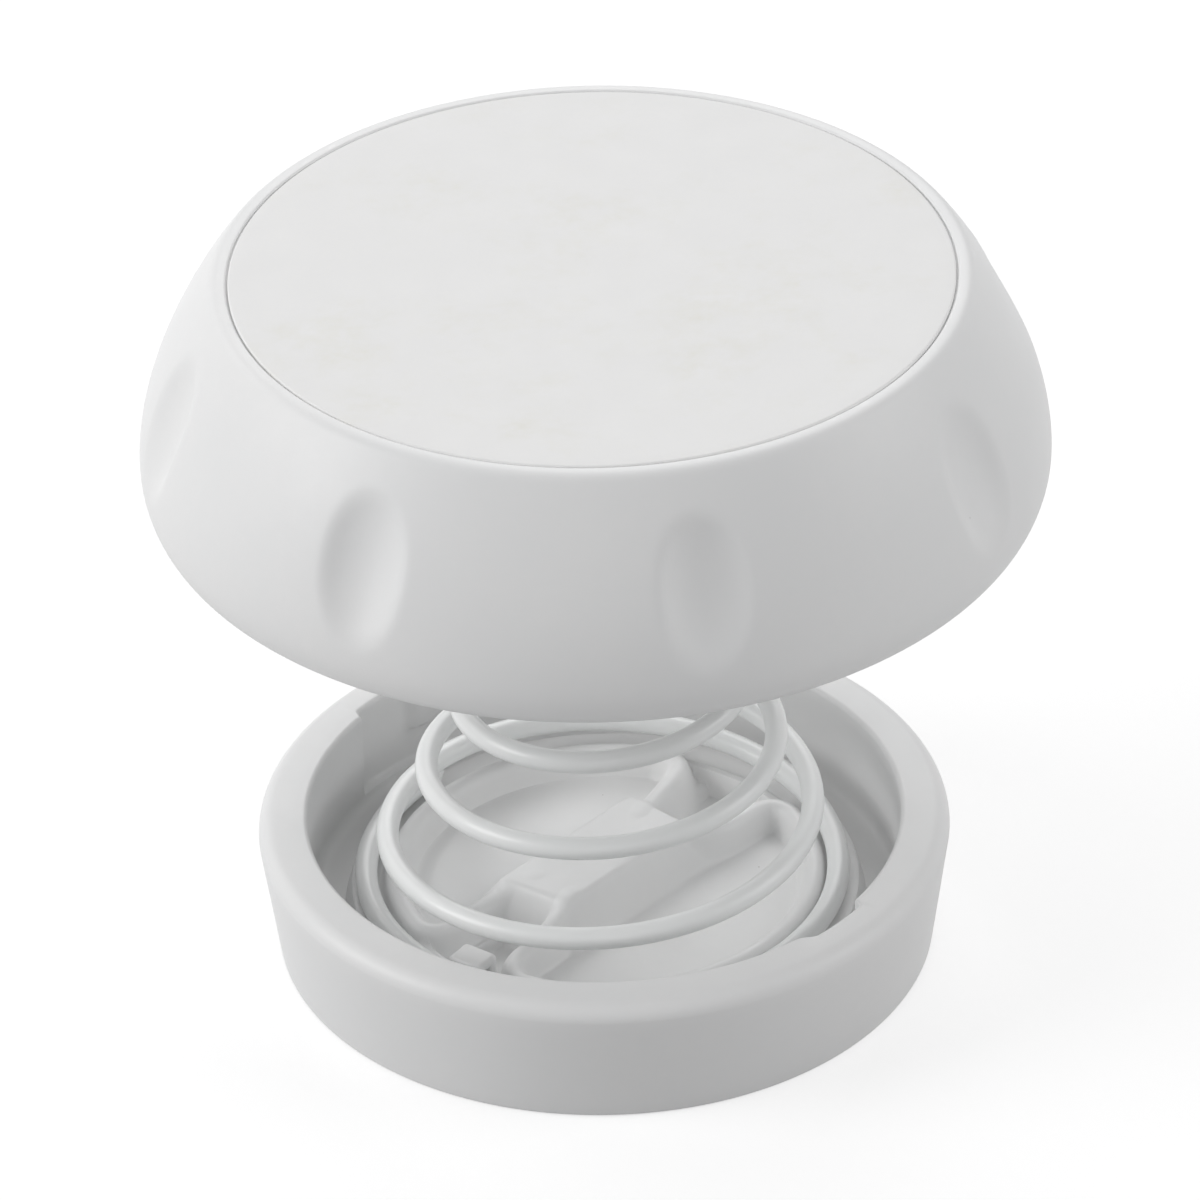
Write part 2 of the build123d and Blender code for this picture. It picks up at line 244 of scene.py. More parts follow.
def grid_mesh(name, rows, start_pole=None, end_pole=None, join_ends=False):
    """A mesh round the Z axis from rows of points in millimetres.

    The first and last rows are joined to each other, or closed to a pole, a point on the axis.
    """
    count, columns, _ = rows.shape
    points = (rows.reshape(-1, 3) * MM).tolist()
    index = np.arange(count * columns).reshape(count, columns)
    if join_ends:
        index = np.vstack([index, index[:1]])
    faces = grid_faces(index)
    for pole, row, flip in ((start_pole, index[0], True), (end_pole, index[-1], False)):
        if pole is None:
            continue
        points.append((0, 0, pole * MM))
        for here, there in zip(row, np.roll(row, -1)):
            fan = (here, there, len(points) - 1)
            faces.append(fan[::-1] if flip else fan)
    mesh = bpy.data.meshes.new(name)
    mesh.from_pydata(points, [], faces)
    outward(mesh)
    return mesh


def outward(mesh):
    """Turns every face of a closed mesh to look outward."""
    bm = bmesh.new()
    bm.from_mesh(mesh)
    bmesh.ops.recalc_face_normals(bm, faces=bm.faces)
    bm.to_mesh(mesh)
    bm.free()


def turned_rows(outline, angles):
    """Rows of points for an outline of (radius, height) pairs turned through the angles."""
    outline = np.asarray(outline, float)
    radius = np.repeat(outline[:, :1], len(angles), axis=1)
    height = np.repeat(outline[:, 1:], len(angles), axis=1)
    return polar_rows(radius, height, angles)


def polar_rows(radius, height, angles):
    """Rows of points from tables of radius and height over the angles."""
    return np.stack([radius * np.cos(angles), radius * np.sin(angles), height], axis=-1)


def arc(centre, radius, start, end, count):
    """Points of an arc in the (radius, height) plane, angles in degrees from the outward direction."""
    t = np.radians(np.linspace(start, end, count))
    return np.stack([centre[0] + radius * np.cos(t), centre[1] + radius * np.sin(t)], axis=-1)


def bezier(a, b, c, d, count):
    """Points of a cubic curve."""
    t = np.linspace(0, 1, count)[:, None]
    a, b, c, d = (np.array(p, float) for p in (a, b, c, d))
    return (1 - t) ** 3 * a + 3 * (1 - t) ** 2 * t * b + 3 * (1 - t) * t**2 * c + t**3 * d


def blend_max(a, b, soft):
    """The larger of two values, rounded over where they meet."""
    h = np.clip(0.5 + 0.5 * (a - b) / soft, 0, 1)
    return b + (a - b) * h + soft * h * (1 - h)


def blend_min(a, b, soft):
    """The smaller of two values, rounded over where they meet."""
    return -blend_max(-a, -b, soft)


def eased(share):
    """A smooth step from 0 to 1."""
    share = np.clip(share, 0, 1)
    return share * share * (3 - 2 * share)


def full_circle(columns):
    return np.linspace(0, 2 * math.pi, columns, endpoint=False)


def bevelled_block(name, low, high, bevel):
    """A block between two corners in millimetres with rounded edges."""
    mesh = bpy.data.meshes.new(name)
    bm = bmesh.new()
    bmesh.ops.create_cube(bm, size=1)
    low, high = Vector(low), Vector(high)
    bmesh.ops.scale(bm, vec=high - low, verts=bm.verts)
    bmesh.ops.translate(bm, vec=(low + high) / 2, verts=bm.verts)
    bmesh.ops.bevel(bm, geom=bm.edges, offset=bevel, segments=4, profile=0.5, affect="EDGES")
    bmesh.ops.scale(bm, vec=(MM, MM, MM), verts=bm.verts)
    bm.to_mesh(mesh)
    bm.free()
    return mesh


def round_bar(name, radius, bottom, top, sides=48):
    """A plain round bar on the Z axis in millimetres, used as a cutter."""
    outline = [(radius, bottom), (radius, top)]
    return grid_mesh(name, turned_rows(outline, full_circle(sides)), start_pole=bottom, end_pole=top)


def combine(target, tool_mesh, operation, placement):
    """Joins the tool to the target, or cuts it out, and keeps the result in the target's mesh."""
    tool = bpy.data.objects.new("tool", tool_mesh)
    bpy.context.scene.collection.objects.link(tool)
    tool.matrix_world = placement
    step = target.modifiers.new("combine", "BOOLEAN")
    step.object = tool
    step.operation = operation
    step.solver = "MANIFOLD"
    depsgraph = bpy.context.evaluated_depsgraph_get()
    result = bpy.data.meshes.new_from_object(target.evaluated_get(depsgraph))
    target.modifiers.clear()
    target.data = result
    bpy.data.objects.remove(tool)
    result.shade_smooth()
    result.set_sharp_from_angle(angle=SHARP_ANGLE)


def turn_z(degrees, offset=(0, 0, 0)):
    """A turn about the Z axis after a shift in millimetres."""
    return Matrix.Rotation(math.radians(degrees), 4, "Z") @ Matrix.Translation(Vector(offset) * MM)


# ------------------------------------------------------------------ base cup


def shoulder(distance, top, radius, slope):
    """Height of a wall by the distance outside its top's edge, which is rounded."""
    steepest = slope / math.hypot(1, slope)
    near = np.clip((distance + radius) / radius, 0, steepest)
    past = np.maximum(distance + radius * (1 - steepest), 0)
    return top - radius * (1 - np.sqrt(1 - near**2)) - slope * past


def rounded_path(points, passes=3):
    """Cuts a route's corners again and again until it is smooth."""
    path = np.array(points, float)
    for _ in range(passes):
        a, b = path[:-1], path[1:]
        cut = np.empty((2 * len(a), path.shape[1]))
        cut[0::2] = 0.75 * a + 0.25 * b
        cut[1::2] = 0.25 * a + 0.75 * b
        path = np.vstack([path[:1], cut, path[-1:]])
    return path


def pocket_wall_route(near_spur, far_spur):
    """The crest of the wall round one pocket: a spur off the bar, the ring, and the other spur.

    Points are along the bar, across it, and the crest's height. The ring starts and ends a little
    way round from the spurs' ends, so that the corners come out rounded.
    """
    start = math.atan2(near_spur[-1][1], near_spur[-1][0]) + math.radians(7)
    end = math.atan2(far_spur[-1][1], far_spur[-1][0]) - math.radians(7)
    turn = np.linspace(start, end, 48)
    ring = [(BOSS_CREST_RADIUS * math.cos(t), BOSS_CREST_RADIUS * math.sin(t), BOSS_TOP) for t in turn]
    return rounded_path([*near_spur, *ring, *far_spur[::-1]])


def wall_height(along, across, route):
    """Height of a rounded wall that follows the route."""
    height = np.full(along.shape, -10.0)
    for a, b in zip(route[:-1], route[1:]):
        run = b[:2] - a[:2]
        share = ((along - a[0]) * run[0] + (across - a[1]) * run[1]) / (run @ run)
        share = np.clip(share, 0, 1)
        distance = np.hypot(along - a[0] - share * run[0], across - a[1] - share * run[1])
        crest = a[2] + share * (b[2] - a[2])
        wall = shoulder(distance - BOSS_WALL_HALF, crest, BOSS_WALL_ROUND, BOSS_WALL_SLOPE)
        height = np.maximum(height, wall)
    return height


def floor_height(radius, angles):
    """Height of the cup's floor, with the boss that centres the spring."""
    x, y = radius * np.cos(angles), radius * np.sin(angles)
    turn = math.radians(BAR_ANGLE)
    along = x * math.cos(turn) + y * math.sin(turn)
    across = y * math.cos(turn) - x * math.sin(turn)

    lean = math.radians(CHANNEL_ANGLE - BAR_ANGLE)
    down_channel = np.abs(along * math.cos(lean) + across * math.sin(lean))
    off_channel = np.abs(across * math.cos(lean) - along * math.sin(lean))
    in_channel = np.clip((CHANNEL_HALF + CHANNEL_EDGE - off_channel) / CHANNEL_EDGE, 0, 1)
    in_channel = in_channel * np.clip((down_channel - CHANNEL_START) / CHANNEL_EDGE, 0, 1)
    in_boss = np.clip((BOSS_CREST_RADIUS - radius) / 0.4, 0, 1)
    floor = FLOOR_TOP + (POCKET_FLOOR - FLOOR_TOP) * in_boss * (1 - in_channel)

    left_wall = wall_height(along, across, pocket_wall_route(LEFT_REAR_SPUR, FAR_SPUR))
    right_wall = wall_height(-along, -across, pocket_wall_route(RIGHT_FRONT_SPUR, FAR_SPUR))
    walls = blend_max(left_wall, right_wall, BOSS_WALL_BLEND)

    front_end = -along - BAR_END_SKEW * (across + BAR_SQUARE_SIDE)
    bar_end = np.where(along < 0, front_end, along) - BAR_HALF_LENGTH
    bar_edge = blend_max(bar_end, np.abs(across - BAR_OFFSET) - BAR_HALF_WIDTH, BAR_CORNER_BLEND)
    bar = shoulder(bar_edge, BAR_TOP, BAR_ROUND, BAR_SLOPE)
    height = blend_max(walls, bar, BOSS_BLEND)
    ridge = shoulder(np.abs(radius - RIDGE_RADIUS) - RIDGE_HALF, RIDGE_TOP, RIDGE_ROUND, RIDGE_SLOPE)
    floor = np.maximum(floor, ridge)
    seat = shoulder(radius - SEAT_RADIUS, SEAT_TOP, SEAT_ROUND, SEAT_SLOPE)
    floor = np.where(radius > RIDGE_RADIUS + RIDGE_HALF, np.maximum(floor, seat), floor)
    return blend_max(floor, height, BOSS_FLOOR_BLEND)


def cup_angles():
    """Angles round the cup, closer together at the edges of the keyways and grooves."""
    half = KEYWAY_WIDTH / 2
    edges = [KEYWAY_ANGLE - half - LOCK_ANGLE, KEYWAY_ANGLE - half, KEYWAY_ANGLE + half]
    sides = np.linspace(-BAYONET_EASE / 2, BAYONET_EASE / 2, 5)
    close = [edge + turn + side for edge in edges for turn in (0, 180) for side in sides]
    angles = np.concatenate([full_circle(COLUMNS), np.radians(close) % (2 * math.pi)])
    return np.unique(np.round(angles, 6))


def cup_wall_rows(angles):
    """Radius and height tables from the floor's edge up the bore, over the rim and down to the foot."""
    off = (np.degrees(angles) - KEYWAY_ANGLE + 90) % 180 - 90
    from_groove = np.abs((np.degrees(angles) - KEYWAY_ANGLE + LOCK_ANGLE / 2 + 90) % 180 - 90)
    closed_side = eased((KEYWAY_WIDTH / 2 - off) / BAYONET_EASE + 0.5)
    keyway = closed_side * eased((KEYWAY_WIDTH / 2 + off) / BAYONET_RAMP + 0.5)
    groove = eased(((KEYWAY_WIDTH + LOCK_ANGLE) / 2 - from_groove) / BAYONET_EASE + 0.5)
    depth = GROOVE_RADIUS - CUP_BORE_RADIUS
    bore = np.full(angles.shape, CUP_BORE_RADIUS)
    mouth = bore + depth * keyway
    slot = bore + depth * groove
    radii, heights = [], []

    def row(radius, height):
        radii.append(radius)
        heights.append(np.full(angles.shape, height))

    for r, z in arc((CUP_BORE_RADIUS - FLOOR_ROUND, FLOOR_TOP + FLOOR_ROUND), FLOOR_ROUND, -90, 0, 7):
        row(np.full(angles.shape, r), z)
    row(bore + 0.35 * (slot - bore), GROOVE_BOTTOM + 0.05)
    row(bore + 0.85 * (slot - bore), GROOVE_BOTTOM + GROOVE_EDGE)
    row(slot, GROOVE_BOTTOM + 2 * GROOVE_EDGE)
    row(slot, GROOVE_TOP - GROOVE_EDGE)
    row(np.maximum(mouth, bore + 0.8 * (slot - bore)), GROOVE_TOP)
    row(np.maximum(mouth, bore + 0.2 * (slot - bore)), GROOVE_TOP + GROOVE_EDGE)
    row(mouth, GROOVE_TOP + 2 * GROOVE_EDGE)
    for turn in np.radians(np.linspace(180, 90, 6)):
        shift = CUP_INNER_ROUND * (1 + math.cos(turn))
        row(mouth + shift, CUP_HEIGHT - CUP_INNER_ROUND * (1 - math.sin(turn)))
    shoulder_height = CUP_HEIGHT - CUP_RIM_ROUND
    for r, z in arc((CUP_RADIUS - CUP_RIM_ROUND, shoulder_height), CUP_RIM_ROUND, 88, 0, 12):
        row(np.full(angles.shape, r), z)
    foot = (CUP_FOOT_RADIUS, CUP_FOOT_ROUND)
    for share in np.linspace(0, 1, 9)[1:]:
        r = CUP_RADIUS + (foot[0] - CUP_RADIUS) * share
        row(np.full(angles.shape, r), shoulder_height + (foot[1] - shoulder_height) * share)
    for r, z in arc((CUP_FOOT_RADIUS - CUP_FOOT_ROUND, CUP_FOOT_ROUND), CUP_FOOT_ROUND, -20, -90, 5):
        row(np.full(angles.shape, r), z)
    for r, z in ((0.15, 0), (0, 0.15), (0, PAD_THICKNESS)):
        row(np.full(angles.shape, PAD_RECESS_RADIUS + r), z)
    for share in (0.8, 0.6, 0.4, 0.2):
        row(np.full(angles.shape, PAD_RECESS_RADIUS * share), PAD_THICKNESS)
    return np.array(radii), np.array(heights)


def clip_hook():
    """The spring clip's post and its hook, which reaches out over the wire."""
    half = CLIP_WIDTH / 2
    post_top = (CLIP_POST_OUTER, half, CLIP_HOOK_TOP - 0.01)
    post = bevelled_block("post", (CLIP_POST_INNER, -half, FLOOR_TOP - 0.6), post_top, CLIP_ROUND)
    hook_foot = (CLIP_POST_INNER + 0.02, -half + 0.02, CLIP_HOOK_BOTTOM)
    hook = bevelled_block("hook", hook_foot, (CLIP_HOOK_RADIUS, half - 0.02, CLIP_HOOK_TOP), CLIP_ROUND)
    return post, hook


def base_cup():
    """The moulded base: cup, bayonet keyways and grooves, boss, spring seat and spring clip."""
    angles = cup_angles()
    fine = np.arange(2.0, SEAT_RADIUS + 0.5, FLOOR_STEP)
    floor_radii = np.concatenate([[0.5, 1.0, 1.5], fine, [17.8, 18.3]])
    radius = np.repeat(floor_radii[:, None], len(angles), axis=1)
    height = floor_height(radius, angles)
    wall_radius, wall_height_table = cup_wall_rows(angles)
    rows = polar_rows(np.vstack([radius, wall_radius]), np.vstack([height, wall_height_table]), angles)
    mesh = grid_mesh("base_cup_moulding", rows, start_pole=BAR_TOP, end_pole=PAD_THICKNESS)
    cup = new_object("base_cup_moulding", mesh)
    placement = turn_z(CLIP_ANGLE)
    for block in clip_hook():
        combine(cup, block, "UNION", placement)
    half = CLIP_WIDTH / 2 - 0.5
    core_hole = ((CLIP_POST_OUTER, -half, -1), (CLIP_HOOK_RADIUS, half, SEAT_TOP + 0.4))
    combine(cup, bevelled_block("hole", *core_hole, CORE_HOLE_ROUND), "DIFFERENCE", placement)
    return cup


# ------------------------------------------------------------------ conical spring


def spring_line(turns):
    """The wire's middle line by turns from its lower end."""
    angle = np.radians(SPRING_START_ANGLE) + 2 * math.pi * turns
    share = np.clip((turns - DEAD_TURNS_BASE) / ACTIVE_TURNS, 0, 1)
    fall = np.exp(-((turns / TAPER_TURNS) ** 2))
    radius = SPRING_END_RADIUS + (SPRING_BASE_RADIUS - SPRING_END_RADIUS) * fall
    height = SPRING_SEAT + (SPRING_END_HEIGHT - SPRING_SEAT) * share
    bow = 27 / 4 * SPRING_BOW * share * (1 - share) ** 2
    return np.stack([radius * np.cos(angle) + bow, radius * np.sin(angle), height], axis=-1)


def conical_spring():
    """The coated wire: a flat base coil, open coils that narrow, and a flat end coil."""
    total = DEAD_TURNS_BASE + ACTIVE_TURNS + DEAD_TURNS_END
    turns = np.linspace(0, total, int(total * POINTS_PER_TURN))
    line = spring_line(turns)
    tangent = np.gradient(line, axis=0)
    tangent /= np.linalg.norm(tangent, axis=1)[:, None]
    side = np.stack([line[:, 0], line[:, 1], 0 * turns], axis=-1)
    side -= tangent * np.sum(side * tangent, axis=1)[:, None]
    side /= np.linalg.norm(side, axis=1)[:, None]
    up = np.cross(tangent, side)
    travelled = np.concatenate([[0], np.cumsum(np.linalg.norm(np.diff(line, axis=0), axis=1))])
    from_end = np.minimum(travelled, travelled[-1] - travelled)
    rounding = np.clip(1 - from_end / WIRE_RADIUS, 0, 0.98)
    radius = WIRE_RADIUS * np.sqrt(1 - rounding**2)
    around = full_circle(POINTS_ROUND_WIRE)
    ring = side[:, None] * np.cos(around)[:, None] + up[:, None] * np.sin(around)[:, None]
    rows = line[:, None] + radius[:, None, None] * ring
    count, columns, _ = rows.shape
    points = (rows.reshape(-1, 3) * MM).tolist()
    index = np.arange(count * columns).reshape(count, columns)
    faces = grid_faces(index) + [index[0].tolist(), index[-1].tolist()]
    mesh = bpy.data.meshes.new("spring_wire")
    mesh.from_pydata(points, [], faces)
    outward(mesh)
    return new_object("spring_wire", mesh)


# ------------------------------------------------------------------ cap


def cap_outline():
    """The cap's wall in section, and how many of its first points take the dimples."""
    lip_top = CAP_TOP - 0.5
    side = bezier(
        (CAP_SHOULDER_RADIUS, lip_top),
        (CAP_SHOULDER_RADIUS + 1.6, CAP_TOP - 2.6),
        (CAP_RADIUS, CAP_WIDEST + 4.6),
        (CAP_RADIUS, CAP_WIDEST),
        64,
    )
    curl = bezier(
        (CAP_RADIUS, CAP_WIDEST),
        (CAP_RADIUS, CAP_WIDEST - 2.1),
        (CAP_BOTTOM_RADIUS + 1.6, CAP_BOTTOM),
        (CAP_BOTTOM_RADIUS, CAP_BOTTOM),
        24,
    )
    inner = bezier(
        (CAP_BOTTOM_RADIUS - 0.9, CAP_BOTTOM + 0.25),
        (CAP_RADIUS - CAP_WALL, CAP_WIDEST - 1.2),
        (CAP_RADIUS - CAP_WALL, CAP_WIDEST + 3.4),
        (CAP_SHOULDER_RADIUS, ROOF_BOTTOM),
        18,
    )
    counterbore_floor = ROOF_TOP - SWIVEL_COUNTERBORE_DEPTH
    roof = [
        (CAP_SHOULDER_RADIUS - 0.4, ROOF_BOTTOM),
        (12, ROOF_BOTTOM),
        (SWIVEL_BORE_RADIUS + 0.15, ROOF_BOTTOM),
        (SWIVEL_BORE_RADIUS, ROOF_BOTTOM + 0.15),
        (SWIVEL_BORE_RADIUS, counterbore_floor - 0.1),
        (SWIVEL_BORE_RADIUS + 0.1, counterbore_floor),
        (SWIVEL_COUNTERBORE_RADIUS, counterbore_floor),
        (SWIVEL_COUNTERBORE_RADIUS, ROOF_TOP - 0.1),
        (SWIVEL_COUNTERBORE_RADIUS + 0.1, ROOF_TOP),
        (12, ROOF_TOP),
        (RECESS_RADIUS - RECESS_LEDGE, ROOF_TOP),
        (RECESS_RADIUS - RECESS_LEDGE, CAP_TOP - RECESS_LEDGE_DEPTH),
        (RECESS_RADIUS, CAP_TOP - RECESS_LEDGE_DEPTH + 0.04),
    ]
    lip_inner = arc((RECESS_RADIUS + LIP_ROUND, CAP_TOP - LIP_ROUND), LIP_ROUND, 180, 90, 6)
    lip_outer = bezier(
        (RECESS_RADIUS + 0.3, CAP_TOP),
        (RECESS_RADIUS + 0.75, CAP_TOP + 0.0),
        (CAP_SHOULDER_RADIUS - 0.28, CAP_TOP - 0.12),
        (CAP_SHOULDER_RADIUS, lip_top),
        9,
    )[:-1]
    outline = np.vstack([side, curl[1:], inner, roof, lip_inner, lip_outer])
    return outline, len(side) + len(curl) - 1


def cap_shell():
    """The outer grip: convex side with finger dimples, curled lower edge, roof and disc recess."""
    angles = full_circle(COLUMNS)
    outline, dimpled = cap_outline()
    radius = np.repeat(outline[:, :1], COLUMNS, axis=1)
    height = np.repeat(outline[:, 1:], COLUMNS, axis=1)
    step = 2 * math.pi / DIMPLE_COUNT
    off = (angles - math.radians(DIMPLE_ANGLE) + step / 2) % step - step / 2
    sideways = radius * np.sin(off)
    rising = outline[:dimpled][::-1]
    low, high = np.interp((DIMPLE_LOW, DIMPLE_HIGH), rising[:, 1], rising[:, 0])
    share = 2 * (height - DIMPLE_LOW) / (DIMPLE_HIGH - DIMPLE_LOW) - 1
    scoop = DIMPLE_SCOOP * (1 - share**2) * (1 + DIMPLE_TOP_HEAVY * share)
    bottom = (low + high) / 2 + (high - low) / 2 * share - scoop
    reach = np.sqrt(np.maximum(DIMPLE_TOOL_RADIUS**2 - sideways**2, 0))
    dimple = blend_min(radius, bottom + DIMPLE_TOOL_RADIUS - reach, DIMPLE_EDGE)
    radius[:dimpled] = np.where(np.abs(off) < step * 0.3, dimple, radius)[:dimpled]
    mesh = grid_mesh("cap_moulding", polar_rows(radius, height, angles), join_ends=True)
    cap = new_object("cap_moulding", mesh)
    for i in range(RING_SCREW_COUNT):
        placement = turn_z(RING_SCREW_ANGLE + i * 360 / RING_SCREW_COUNT, (RING_SCREW_CIRCLE, 0, 0))
        hole = round_bar("hole", RING_HOLE_RADIUS, ROOF_BOTTOM - 1, ROOF_TOP + 1)
        combine(cap, hole, "DIFFERENCE", placement)
        sink = round_bar("sink", RING_COUNTERBORE_RADIUS, ROOF_TOP - RING_COUNTERBORE_DEPTH, ROOF_TOP + 1)
        combine(cap, sink, "DIFFERENCE", placement)
    return cap


def strike_disc():
    """The flat elastomer disc, with a soft edge."""
    outline = np.vstack(
        [
            [(r, DISC_BOTTOM) for r in (8, 16, DISC_RADIUS - 0.1)],
            [(DISC_RADIUS, DISC_BOTTOM + 0.1)],
            arc((DISC_RADIUS - DISC_EDGE, DISC_TOP - DISC_EDGE), DISC_EDGE, 0, 90, 8),
            [(r, DISC_TOP) for r in (DISC_RADIUS - 1, 16, 8)],
        ]
    )
    rows = turned_rows(outline, full_circle(COLUMNS // 2))
    mesh = grid_mesh("strike_pad", rows, start_pole=DISC_BOTTOM, end_pole=DISC_TOP)
    return new_object("strike_pad", mesh)


# ------------------------------------------------------------------ materials


class Finish:
    """A material under construction: a principled shader and the nodes that feed it."""

    def __init__(self, name):
        self.material = bpy.data.materials.new(name)
        self.material.use_nodes = True
        self.tree = self.material.node_tree
        self.shader = self.tree.nodes["Principled BSDF"]
        self.place = self.node("ShaderNodeTexCoord").outputs["Object"]

    def node(self, kind, **settings):
        made = self.tree.nodes.new(kind)
        for key, value in settings.items():
            setattr(made, key, value)
        return made

    def link(self, output, socket):
        self.tree.links.new(output, socket)

    def noise(self, size_mm, detail=2.0, roughness=0.5, stretch=None):
        """Noise whose features are about size_mm across."""
        made = self.node("ShaderNodeTexNoise")
        place = self.place
        if stretch:
            mapping = self.node("ShaderNodeMapping")
            mapping.inputs["Scale"].default_value = stretch
            self.link(self.place, mapping.inputs["Vector"])
            place = mapping.outputs["Vector"]
        self.link(place, made.inputs["Vector"])
        made.inputs["Scale"].default_value = 1 / (size_mm * MM)
        made.inputs["Detail"].default_value = detail
        made.inputs["Roughness"].default_value = roughness
        return made.outputs["Fac"]

    def spread(self, value, low, high, new_low, new_high):
        """Maps a range of values to another, held at its ends."""
        made = self.node("ShaderNodeMapRange")
        self.link(value, made.inputs["Value"])
        sockets = ("From Min", "From Max", "To Min", "To Max")
        for socket, number in zip(sockets, (low, high, new_low, new_high)):
            made.inputs[socket].default_value = number
        return made.outputs["Result"]

    def arithmetic(self, operation, a, b):
        made = self.node("ShaderNodeMath", operation=operation)
        for socket, value in zip(made.inputs, (a, b)):
            if isinstance(value, (int, float)):
                socket.default_value = value
            else:
                self.link(value, socket)
        return made.outputs["Value"]

    def mix_colour(self, factor, a, b):
        made = self.node("ShaderNodeMix", data_type="RGBA")
        self.link(factor, made.inputs["Factor"])
        for socket, value in ((made.inputs[6], a), (made.inputs[7], b)):
            if isinstance(value, tuple):
                socket.default_value = (*value, 1)
            else:
                self.link(value, socket)
        return made.outputs[2]

    def specks(self, cell_mm, size, rarity):
        """A mask of small rare spots."""
        made = self.node("ShaderNodeTexVoronoi")
        self.link(self.place, made.inputs["Vector"])
        made.inputs["Scale"].default_value = 1 / (cell_mm * MM)
        near = self.spread(made.outputs["Distance"], size * 0.5, size, 1, 0)
        separate = self.node("ShaderNodeSeparateColor")
        self.link(made.outputs["Color"], separate.inputs["Color"])
        chosen = self.spread(separate.outputs["Red"], rarity, rarity + 0.01, 0, 1)
        return self.arithmetic("MULTIPLY", near, chosen)

    def bump(self, height, depth_mm, strength=1.0, after=None):
        made = self.node("ShaderNodeBump")
        made.inputs["Strength"].default_value = strength
        made.inputs["Distance"].default_value = depth_mm * MM
        self.link(height, made.inputs["Height"])
        if after is not None:
            self.link(after, made.inputs["Normal"])
        return made.outputs["Normal"]

    def finish(self, colour=None, roughness=None, normal=None, **constants):
        for socket, value in (("Base Color", colour), ("Roughness", roughness), ("Normal", normal)):
            if value is not None:
                self.link(value, self.shader.inputs[socket])
        for socket, value in constants.items():
            self.shader.inputs[socket.replace("_", " ")].default_value = value
        return self.material


def moulded_white():
    """Satin white plastic: fine moulded grain, faint flow shading, dust specks, polished edges."""
    f = Finish("moulded_white")
    flow = f.spread(f.noise(14, 3), 0.35, 0.65, 0, 1)
    colour = f.mix_colour(flow, (0.827, 0.83, 0.83), (0.847, 0.846, 0.843))
    mottle = f.spread(f.noise(0.9, 4, 0.65), 0.3, 0.7, 0, 1)
    colour = f.mix_colour(f.arithmetic("MULTIPLY", mottle, 0.35), colour, (0.815, 0.82, 0.82))
    colour = f.mix_colour(f.specks(2.6, 0.032, 0.93), colour, (0.42, 0.40, 0.38))
    edge = f.spread(f.node("ShaderNodeNewGeometry").outputs["Pointiness"], 0.505, 0.56, 0, 0.10)
    patchy = f.spread(f.noise(5, 4, 0.6), 0.3, 0.7, 0.40, 0.48)
    roughness = f.arithmetic("SUBTRACT", patchy, edge)
    grain = f.bump(f.noise(0.16, 2, 0.6), 0.006, 0.6)
    waviness = f.bump(f.noise(3.5, 2), 0.02, 0.5, after=grain)
    return f.finish(colour, roughness, waviness, IOR=1.49)


def coated_wire():
    """Semi-gloss coating over the wire: slight orange peel and a little rubbing."""
    f = Finish("coated_wire")
    flow = f.spread(f.noise(6, 3), 0.35, 0.65, 0, 1)
    colour = f.mix_colour(flow, (0.87, 0.885, 0.88), (0.89, 0.90, 0.895))
    rubbed = f.spread(f.noise(3.5, 2, 0.5), 0.5, 0.75, 0, 0.35)
    colour = f.mix_colour(rubbed, colour, (0.845, 0.85, 0.84))
    roughness = f.spread(f.noise(4.0, 2, 0.5), 0.3, 0.7, 0.285, 0.35)
    peel = f.bump(f.noise(1.6, 1), 0.004, 0.25)
    return f.finish(colour, roughness, peel, IOR=1.5)


def strike_elastomer():
    """Matte white elastomer with a very fine texture and faint beige handling smudges."""
    f = Finish("strike_elastomer")
    cloud = f.spread(f.noise(9, 5, 0.62), 0.50, 0.66, 0, 1)
    broken = f.spread(f.noise(1.6, 5, 0.65), 0.35, 0.7, 0, 1)
    smudge = f.arithmetic("MULTIPLY", cloud, broken)
    smudge = f.arithmetic("MULTIPLY", smudge, 0.7)
    colour = f.mix_colour(smudge, (0.882, 0.880, 0.873), (0.826, 0.818, 0.755))
    fine = f.spread(f.noise(0.5, 3, 0.6), 0.3, 0.7, 0, 0.3)
    colour = f.mix_colour(fine, colour, (0.858, 0.86, 0.857))
    roughness = f.spread(f.noise(3, 4, 0.6), 0.3, 0.7, 0.62, 0.74)
    texture = f.bump(f.noise(0.11, 2, 0.6), 0.006, 0.5)
    return f.finish(colour, roughness, texture, IOR=1.46)


def foam_adhesive():
    """Off-white foam with open cells."""
    f = Finish("foam_adhesive")
    tone = f.spread(f.noise(1.2, 4, 0.6), 0.3, 0.7, 0, 1)
    colour = f.mix_colour(tone, (0.70, 0.69, 0.66), (0.77, 0.765, 0.74))
    cells = f.node("ShaderNodeTexVoronoi")
    f.link(f.place, cells.inputs["Vector"])
    cells.inputs["Scale"].default_value = 1 / (0.35 * MM)
    normal = f.bump(cells.outputs["Distance"], 0.08, 0.7)
    roughness = f.spread(f.noise(0.8, 2), 0.3, 0.7, 0.8, 0.92)
    return f.finish(colour, roughness, normal)


def inner_plastic():
    """Natural white low-friction plastic, a little waxy."""
    f = Finish("inner_plastic")
    flow = f.spread(f.noise(8, 3), 0.35, 0.65, 0, 1)
    colour = f.mix_colour(flow, (0.755, 0.755, 0.74), (0.79, 0.79, 0.775))
    roughness = f.spread(f.noise(2.5, 4, 0.6), 0.3, 0.7, 0.34, 0.46)
    grain = f.bump(f.noise(0.25, 2), 0.006, 0.5)
    return f.finish(colour, roughness, grain, IOR=1.51)


